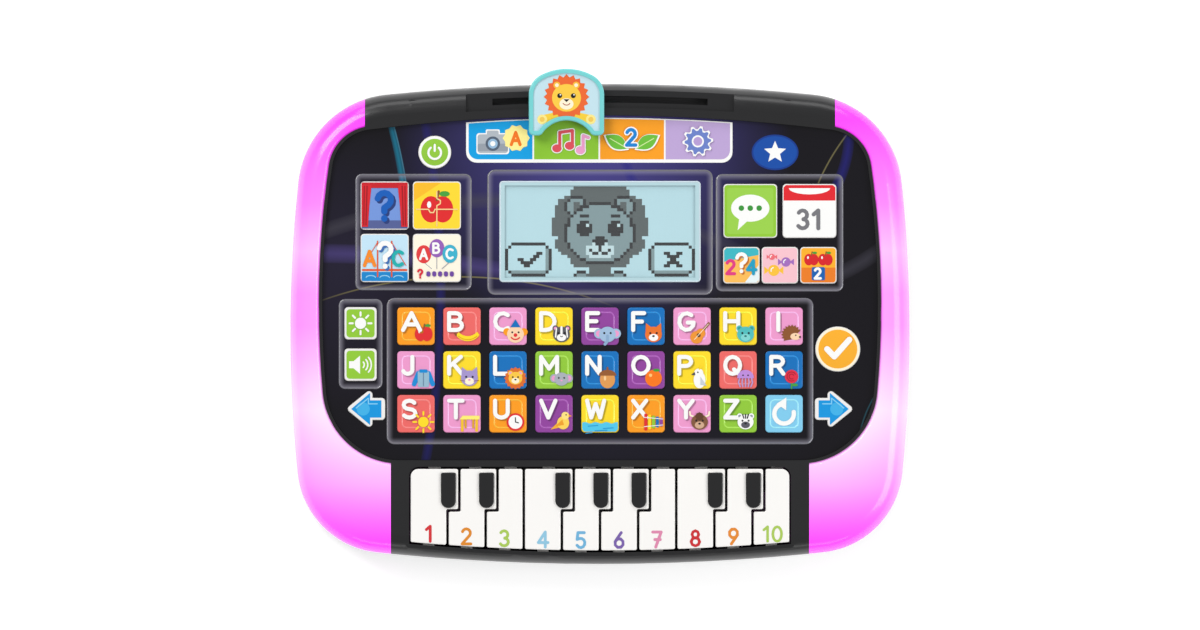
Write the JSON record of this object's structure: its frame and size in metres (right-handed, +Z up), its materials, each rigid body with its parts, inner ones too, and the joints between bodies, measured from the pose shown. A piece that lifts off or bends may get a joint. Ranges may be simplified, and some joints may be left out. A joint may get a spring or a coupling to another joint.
{
  "type": "kids toy tablet",
  "caption": "Children's electronic learning tablet with a touch-key alphabet panel, small screen, light-up side grips, piano keys and a sliding mode tag.",
  "frame": {"origin": "under the middle of the whole tablet with its slider tag, on the surface it stands on", "axes": "+X to the user's right along the long side, +Y to the back edge with the slider tag, +Z up out of the face"},
  "size_m": [0.265, 0.2118, 0.0348],
  "materials": {
    "case_black": "fine satin texture",
    "grip_glow": "translucent, lit from inside",
    "panel_film": "printed glossy film",
    "clear_window": "clear",
    "lcd_glass": "smooth",
    "board_green": "solder resist",
    "board_black": "black solder resist",
    "dome_rubber": "matt silicone",
    "speaker_black": "black paint",
    "battery_wrap": "smooth sleeve",
    "contact_steel": "nickel plated",
    "key_mixed": "printed, glossy",
    "slider_turquoise": "moulded, satin rim",
    "piano_white": "moulded, glossy",
    "key_blue": "printed, glossy",
    "key_coral": "printed, glossy",
    "key_green": "printed, glossy",
    "key_light_blue": "printed, glossy",
    "key_orange": "printed, glossy",
    "key_pink": "printed, glossy",
    "key_purple": "printed, glossy",
    "key_yellow": "printed, glossy"
  },
  "bodies": {
    "case": {"front_case": "case_black", "rear_case": "case_black", "light_grip_left": "grip_glow", "light_grip_right": "grip_glow", "touch_panel": "panel_film", "screen_window": "clear_window", "lcd_module": "lcd_glass", "main_board": "board_green", "daughter_boards": "board_black", "rubber_domes": "dome_rubber", "speaker": "speaker_black", "batteries": "battery_wrap", "battery_contacts": "contact_steel", "case_screws": "contact_steel", "activity_keys": "key_mixed"},
    "key_a": {"key_a": "key_orange"},
    "key_b": {"key_b": "key_coral"},
    "key_c": {"key_c": "key_pink"},
    "key_d": {"key_d": "key_yellow"},
    "key_e": {"key_e": "key_purple"},
    "key_f": {"key_f": "key_blue"},
    "key_g": {"key_g": "key_pink"},
    "key_h": {"key_h": "key_yellow"},
    "key_i": {"key_i": "key_pink"},
    "key_j": {"key_j": "key_pink"},
    "key_k": {"key_k": "key_yellow"},
    "key_l": {"key_l": "key_blue"},
    "key_m": {"key_m": "key_green"},
    "key_n": {"key_n": "key_blue"},
    "key_o": {"key_o": "key_purple"},
    "key_p": {"key_p": "key_yellow"},
    "key_q": {"key_q": "key_coral"},
    "key_r": {"key_r": "key_blue"},
    "key_s": {"key_s": "key_coral"},
    "key_t": {"key_t": "key_pink"},
    "key_u": {"key_u": "key_orange"},
    "key_v": {"key_v": "key_purple"},
    "key_w": {"key_w": "key_yellow"},
    "key_x": {"key_x": "key_orange"},
    "key_y": {"key_y": "key_pink"},
    "key_z": {"key_z": "key_green"},
    "key_repeat": {"key_repeat": "key_light_blue"},
    "key_brightness": {"key_brightness": "key_green"},
    "key_volume": {"key_volume": "key_green"},
    "key_power": {"key_power": "key_green"},
    "key_ok": {"key_ok": "key_orange"},
    "key_previous": {"key_previous": "key_blue"},
    "key_next": {"key_next": "key_blue"},
    "piano_key_1": {"piano_key_1": "piano_white"},
    "piano_key_2": {"piano_key_2": "piano_white"},
    "piano_key_3": {"piano_key_3": "piano_white"},
    "piano_key_4": {"piano_key_4": "piano_white"},
    "piano_key_5": {"piano_key_5": "piano_white"},
    "piano_key_6": {"piano_key_6": "piano_white"},
    "piano_key_7": {"piano_key_7": "piano_white"},
    "piano_key_8": {"piano_key_8": "piano_white"},
    "piano_key_9": {"piano_key_9": "piano_white"},
    "piano_key_10": {"piano_key_10": "piano_white"},
    "mode_slider": {"mode_slider": "slider_turquoise"},
    "battery_door": {"battery_door": "case_black"}
  },
  "joints": [
    {"name": "key_a_press", "type": "slide", "parent": "case", "child": "key_a", "axis": [0, 0, 1], "range_m": [-0.0008, 0], "stiffness_N_per_m": 400},
    {"name": "key_b_press", "type": "slide", "parent": "case", "child": "key_b", "axis": [0, 0, 1], "range_m": [-0.0008, 0], "stiffness_N_per_m": 400},
    {"name": "key_c_press", "type": "slide", "parent": "case", "child": "key_c", "axis": [0, 0, 1], "range_m": [-0.0008, 0], "stiffness_N_per_m": 400},
    {"name": "key_d_press", "type": "slide", "parent": "case", "child": "key_d", "axis": [0, 0, 1], "range_m": [-0.0008, 0], "stiffness_N_per_m": 400},
    {"name": "key_e_press", "type": "slide", "parent": "case", "child": "key_e", "axis": [0, 0, 1], "range_m": [-0.0008, 0], "stiffness_N_per_m": 400},
    {"name": "key_f_press", "type": "slide", "parent": "case", "child": "key_f", "axis": [0, 0, 1], "range_m": [-0.0008, 0], "stiffness_N_per_m": 400},
    {"name": "key_g_press", "type": "slide", "parent": "case", "child": "key_g", "axis": [0, 0, 1], "range_m": [-0.0008, 0], "stiffness_N_per_m": 400},
    {"name": "key_h_press", "type": "slide", "parent": "case", "child": "key_h", "axis": [0, 0, 1], "range_m": [-0.0008, 0], "stiffness_N_per_m": 400},
    {"name": "key_i_press", "type": "slide", "parent": "case", "child": "key_i", "axis": [0, 0, 1], "range_m": [-0.0008, 0], "stiffness_N_per_m": 400},
    {"name": "key_j_press", "type": "slide", "parent": "case", "child": "key_j", "axis": [0, 0, 1], "range_m": [-0.0008, 0], "stiffness_N_per_m": 400},
    {"name": "key_k_press", "type": "slide", "parent": "case", "child": "key_k", "axis": [0, 0, 1], "range_m": [-0.0008, 0], "stiffness_N_per_m": 400},
    {"name": "key_l_press", "type": "slide", "parent": "case", "child": "key_l", "axis": [0, 0, 1], "range_m": [-0.0008, 0], "stiffness_N_per_m": 400},
    {"name": "key_m_press", "type": "slide", "parent": "case", "child": "key_m", "axis": [0, 0, 1], "range_m": [-0.0008, 0], "stiffness_N_per_m": 400},
    {"name": "key_n_press", "type": "slide", "parent": "case", "child": "key_n", "axis": [0, 0, 1], "range_m": [-0.0008, 0], "stiffness_N_per_m": 400},
    {"name": "key_o_press", "type": "slide", "parent": "case", "child": "key_o", "axis": [0, 0, 1], "range_m": [-0.0008, 0], "stiffness_N_per_m": 400},
    {"name": "key_p_press", "type": "slide", "parent": "case", "child": "key_p", "axis": [0, 0, 1], "range_m": [-0.0008, 0], "stiffness_N_per_m": 400},
    {"name": "key_q_press", "type": "slide", "parent": "case", "child": "key_q", "axis": [0, 0, 1], "range_m": [-0.0008, 0], "stiffness_N_per_m": 400},
    {"name": "key_r_press", "type": "slide", "parent": "case", "child": "key_r", "axis": [0, 0, 1], "range_m": [-0.0008, 0], "stiffness_N_per_m": 400},
    {"name": "key_s_press", "type": "slide", "parent": "case", "child": "key_s", "axis": [0, 0, 1], "range_m": [-0.0008, 0], "stiffness_N_per_m": 400},
    {"name": "key_t_press", "type": "slide", "parent": "case", "child": "key_t", "axis": [0, 0, 1], "range_m": [-0.0008, 0], "stiffness_N_per_m": 400},
    {"name": "key_u_press", "type": "slide", "parent": "case", "child": "key_u", "axis": [0, 0, 1], "range_m": [-0.0008, 0], "stiffness_N_per_m": 400},
    {"name": "key_v_press", "type": "slide", "parent": "case", "child": "key_v", "axis": [0, 0, 1], "range_m": [-0.0008, 0], "stiffness_N_per_m": 400},
    {"name": "key_w_press", "type": "slide", "parent": "case", "child": "key_w", "axis": [0, 0, 1], "range_m": [-0.0008, 0], "stiffness_N_per_m": 400},
    {"name": "key_x_press", "type": "slide", "parent": "case", "child": "key_x", "axis": [0, 0, 1], "range_m": [-0.0008, 0], "stiffness_N_per_m": 400},
    {"name": "key_y_press", "type": "slide", "parent": "case", "child": "key_y", "axis": [0, 0, 1], "range_m": [-0.0008, 0], "stiffness_N_per_m": 400},
    {"name": "key_z_press", "type": "slide", "parent": "case", "child": "key_z", "axis": [0, 0, 1], "range_m": [-0.0008, 0], "stiffness_N_per_m": 400},
    {"name": "key_repeat_press", "type": "slide", "parent": "case", "child": "key_repeat", "axis": [0, 0, 1], "range_m": [-0.0008, 0], "stiffness_N_per_m": 400},
    {"name": "key_brightness_press", "type": "slide", "parent": "case", "child": "key_brightness", "axis": [0, 0, 1], "range_m": [-0.0008, 0], "stiffness_N_per_m": 400},
    {"name": "key_volume_press", "type": "slide", "parent": "case", "child": "key_volume", "axis": [0, 0, 1], "range_m": [-0.0008, 0], "stiffness_N_per_m": 400},
    {"name": "key_power_press", "type": "slide", "parent": "case", "child": "key_power", "axis": [0, 0, 1], "range_m": [-0.0008, 0], "stiffness_N_per_m": 400},
    {"name": "key_ok_press", "type": "slide", "parent": "case", "child": "key_ok", "axis": [0, 0, 1], "range_m": [-0.0008, 0], "stiffness_N_per_m": 400},
    {"name": "key_previous_press", "type": "slide", "parent": "case", "child": "key_previous", "axis": [0, 0, 1], "range_m": [-0.0008, 0], "stiffness_N_per_m": 400},
    {"name": "key_next_press", "type": "slide", "parent": "case", "child": "key_next", "axis": [0, 0, 1], "range_m": [-0.0008, 0], "stiffness_N_per_m": 400},
    {"name": "piano_key_1_hinge", "type": "hinge", "parent": "case", "child": "piano_key_1", "pos_m": [-0.07326, -0.06045, 0.0236], "axis": [1, 0, 0], "range_deg": [0, 3], "stiffness_Nm_per_rad": 0.6},
    {"name": "piano_key_2_hinge", "type": "hinge", "parent": "case", "child": "piano_key_2", "pos_m": [-0.05698, -0.06045, 0.0236], "axis": [1, 0, 0], "range_deg": [0, 3], "stiffness_Nm_per_rad": 0.6},
    {"name": "piano_key_3_hinge", "type": "hinge", "parent": "case", "child": "piano_key_3", "pos_m": [-0.0407, -0.06045, 0.0236], "axis": [1, 0, 0], "range_deg": [0, 3], "stiffness_Nm_per_rad": 0.6},
    {"name": "piano_key_4_hinge", "type": "hinge", "parent": "case", "child": "piano_key_4", "pos_m": [-0.02442, -0.06045, 0.0236], "axis": [1, 0, 0], "range_deg": [0, 3], "stiffness_Nm_per_rad": 0.6},
    {"name": "piano_key_5_hinge", "type": "hinge", "parent": "case", "child": "piano_key_5", "pos_m": [-0.00814, -0.06045, 0.0236], "axis": [1, 0, 0], "range_deg": [0, 3], "stiffness_Nm_per_rad": 0.6},
    {"name": "piano_key_6_hinge", "type": "hinge", "parent": "case", "child": "piano_key_6", "pos_m": [0.00814, -0.06045, 0.0236], "axis": [1, 0, 0], "range_deg": [0, 3], "stiffness_Nm_per_rad": 0.6},
    {"name": "piano_key_7_hinge", "type": "hinge", "parent": "case", "child": "piano_key_7", "pos_m": [0.02442, -0.06045, 0.0236], "axis": [1, 0, 0], "range_deg": [0, 3], "stiffness_Nm_per_rad": 0.6},
    {"name": "piano_key_8_hinge", "type": "hinge", "parent": "case", "child": "piano_key_8", "pos_m": [0.0407, -0.06045, 0.0236], "axis": [1, 0, 0], "range_deg": [0, 3], "stiffness_Nm_per_rad": 0.6},
    {"name": "piano_key_9_hinge", "type": "hinge", "parent": "case", "child": "piano_key_9", "pos_m": [0.05698, -0.06045, 0.0236], "axis": [1, 0, 0], "range_deg": [0, 3], "stiffness_Nm_per_rad": 0.6},
    {"name": "piano_key_10_hinge", "type": "hinge", "parent": "case", "child": "piano_key_10", "pos_m": [0.07326, -0.06045, 0.0236], "axis": [1, 0, 0], "range_deg": [0, 3], "stiffness_Nm_per_rad": 0.6},
    {"name": "mode_slider_track", "type": "hinge", "parent": "case", "child": "mode_slider", "pos_m": [0, -0.82045, 0.03], "axis": [0, 0, 1], "range_deg": [-3.54, 1.77]},
    {"name": "battery_door_lift", "type": "slide", "parent": "case", "child": "battery_door", "axis": [0, 0, -1], "range_m": [0, 0.03]}
  ]
}
